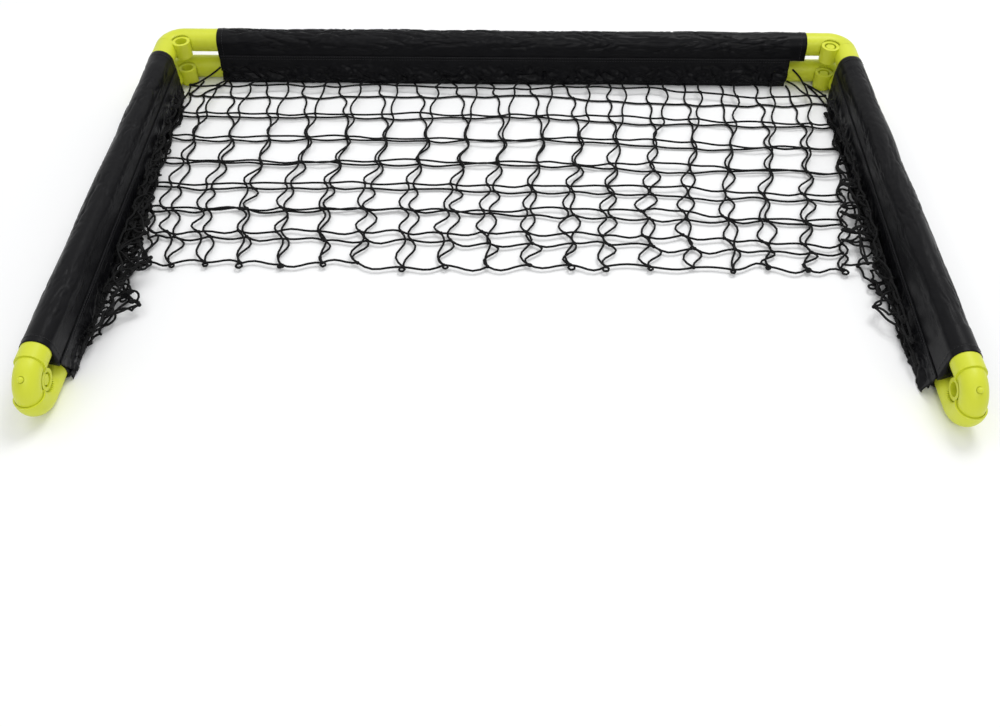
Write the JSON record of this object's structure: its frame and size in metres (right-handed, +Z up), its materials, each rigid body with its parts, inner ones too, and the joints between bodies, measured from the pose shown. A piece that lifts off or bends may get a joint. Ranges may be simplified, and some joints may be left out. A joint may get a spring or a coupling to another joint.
{
  "type": "folding soccer goal",
  "caption": "Folding soccer goal, opened flat: stacked U frames of black tube in fabric sleeves, joined by lime plastic elbow hinges with lock buttons, and a folded-over net.",
  "frame": {"origin": "on the floor, under the middle of the flat goal's bounding box", "axes": "+X along the crossbar, +Y from the leg ends toward the crossbar and rear bar, +Z up"},
  "size_m": [0.9, 0.6, 0.0707],
  "materials": {
    "elbow": "satin moulded lime plastic",
    "tube": "glossy black powder coat",
    "sleeve": "matt-satin black woven polyester",
    "net": "black knotted twine",
    "spring": "spring wire"
  },
  "bodies": {
    "rear_bar": {"rear_bar_tube": "tube", "rear_bar_sleeve": "sleeve", "rear_left_elbow_shell": "elbow", "rear_right_elbow_shell": "elbow", "rear_net": "net"},
    "crossbar": {"crossbar_tube": "tube", "crossbar_sleeve": "sleeve", "top_left_elbow_shell": "elbow", "top_right_elbow_shell": "elbow"},
    "left_ground": {"left_ground_tube": "tube", "left_ground_sleeve": "sleeve", "rear_left_elbow_inner": "elbow", "rear_left_pivot_pin": "elbow", "rear_left_button_spring": "spring", "base_left_elbow_shell": "elbow", "left_side_net": "net"},
    "left_post": {"left_post_tube": "tube", "left_post_sleeve": "sleeve", "top_left_elbow_inner": "elbow", "top_left_pivot_pin": "elbow", "top_left_button_spring": "spring", "base_left_elbow_inner": "elbow", "base_left_pivot_pin": "elbow", "base_left_button_spring": "spring"},
    "right_ground": {"right_ground_tube": "tube", "right_ground_sleeve": "sleeve", "rear_right_elbow_inner": "elbow", "rear_right_pivot_pin": "elbow", "rear_right_button_spring": "spring", "base_right_elbow_shell": "elbow", "right_side_net": "net"},
    "right_post": {"right_post_tube": "tube", "right_post_sleeve": "sleeve", "top_right_elbow_inner": "elbow", "top_right_pivot_pin": "elbow", "top_right_button_spring": "spring", "base_right_elbow_inner": "elbow", "base_right_pivot_pin": "elbow", "base_right_button_spring": "spring"},
    "top_left_button": {"top_left_lock_button": "elbow"},
    "top_right_button": {"top_right_lock_button": "elbow"},
    "rear_left_button": {"rear_left_lock_button": "elbow"},
    "rear_right_button": {"rear_right_lock_button": "elbow"},
    "base_left_button": {"base_left_lock_button": "elbow"},
    "base_right_button": {"base_right_lock_button": "elbow"}
  },
  "joints": [
    {"name": "goal_open", "type": "hinge", "parent": "rear_bar", "child": "crossbar", "pos_m": [0, -0.2655, 0.0345], "axis": [1, 0, 0], "range_deg": [0, 90], "deforming": ["rear_net", "left_side_net", "right_side_net", "base_left_button_spring", "base_right_button_spring"]},
    {"name": "rear_left_hinge", "type": "hinge", "parent": "rear_bar", "child": "left_ground", "pos_m": [-0.4138, 0.2638, 0.0145], "axis": [0, 0, -1], "range_deg": [-90, 0], "deforming": ["rear_left_button_spring", "top_left_button_spring"]},
    {"name": "rear_right_hinge", "type": "hinge", "parent": "rear_bar", "child": "right_ground", "pos_m": [0.4138, 0.2638, 0.0145], "axis": [0, 0, 1], "range_deg": [-82, 0], "deforming": ["rear_right_button_spring", "top_right_button_spring"]},
    {"name": "left_base_hinge", "type": "hinge", "parent": "left_ground", "child": "left_post", "pos_m": [-0.4338, -0.2655, 0.0345], "axis": [1, 0, 0], "range_deg": [0, 90]},
    {"name": "right_base_hinge", "type": "hinge", "parent": "right_ground", "child": "right_post", "pos_m": [0.4338, -0.2655, 0.0345], "axis": [1, 0, 0], "range_deg": [0, 90]},
    {"name": "rear_left_button_slide", "type": "slide", "parent": "left_ground", "child": "rear_left_button", "axis": [-0.766, 0.6428, 0], "range_m": [0, 0.0063]},
    {"name": "top_left_button_slide", "type": "slide", "parent": "left_post", "child": "top_left_button", "axis": [-0.766, 0.6428, 0], "range_m": [0, 0.0063]},
    {"name": "base_left_button_slide", "type": "slide", "parent": "left_post", "child": "base_left_button", "axis": [0, -0.6428, 0.766], "range_m": [-0.0063, 0]},
    {"name": "rear_right_button_slide", "type": "slide", "parent": "right_ground", "child": "rear_right_button", "axis": [0.766, 0.6428, 0], "range_m": [0, 0.00575]},
    {"name": "top_right_button_slide", "type": "slide", "parent": "right_post", "child": "top_right_button", "axis": [0.766, 0.6428, 0], "range_m": [0, 0.00575]},
    {"name": "base_right_button_slide", "type": "slide", "parent": "right_post", "child": "base_right_button", "axis": [0, -0.6428, 0.766], "range_m": [-0.0063, 0]}
  ],
  "couplings": [
    {"joint": "left_base_hinge", "follows": "goal_open", "ratio": 1},
    {"joint": "right_base_hinge", "follows": "goal_open", "ratio": 1},
    {"joint": "rear_left_button_slide", "follows": "rear_left_hinge", "m_per_rad": -0.00401},
    {"joint": "top_left_button_slide", "follows": "rear_left_hinge", "m_per_rad": -0.00401},
    {"joint": "base_left_button_slide", "follows": "goal_open", "m_per_rad": -0.00401},
    {"joint": "rear_right_button_slide", "follows": "rear_right_hinge", "m_per_rad": -0.00401},
    {"joint": "top_right_button_slide", "follows": "rear_right_hinge", "m_per_rad": -0.00401},
    {"joint": "base_right_button_slide", "follows": "goal_open", "m_per_rad": -0.00401}
  ]
}
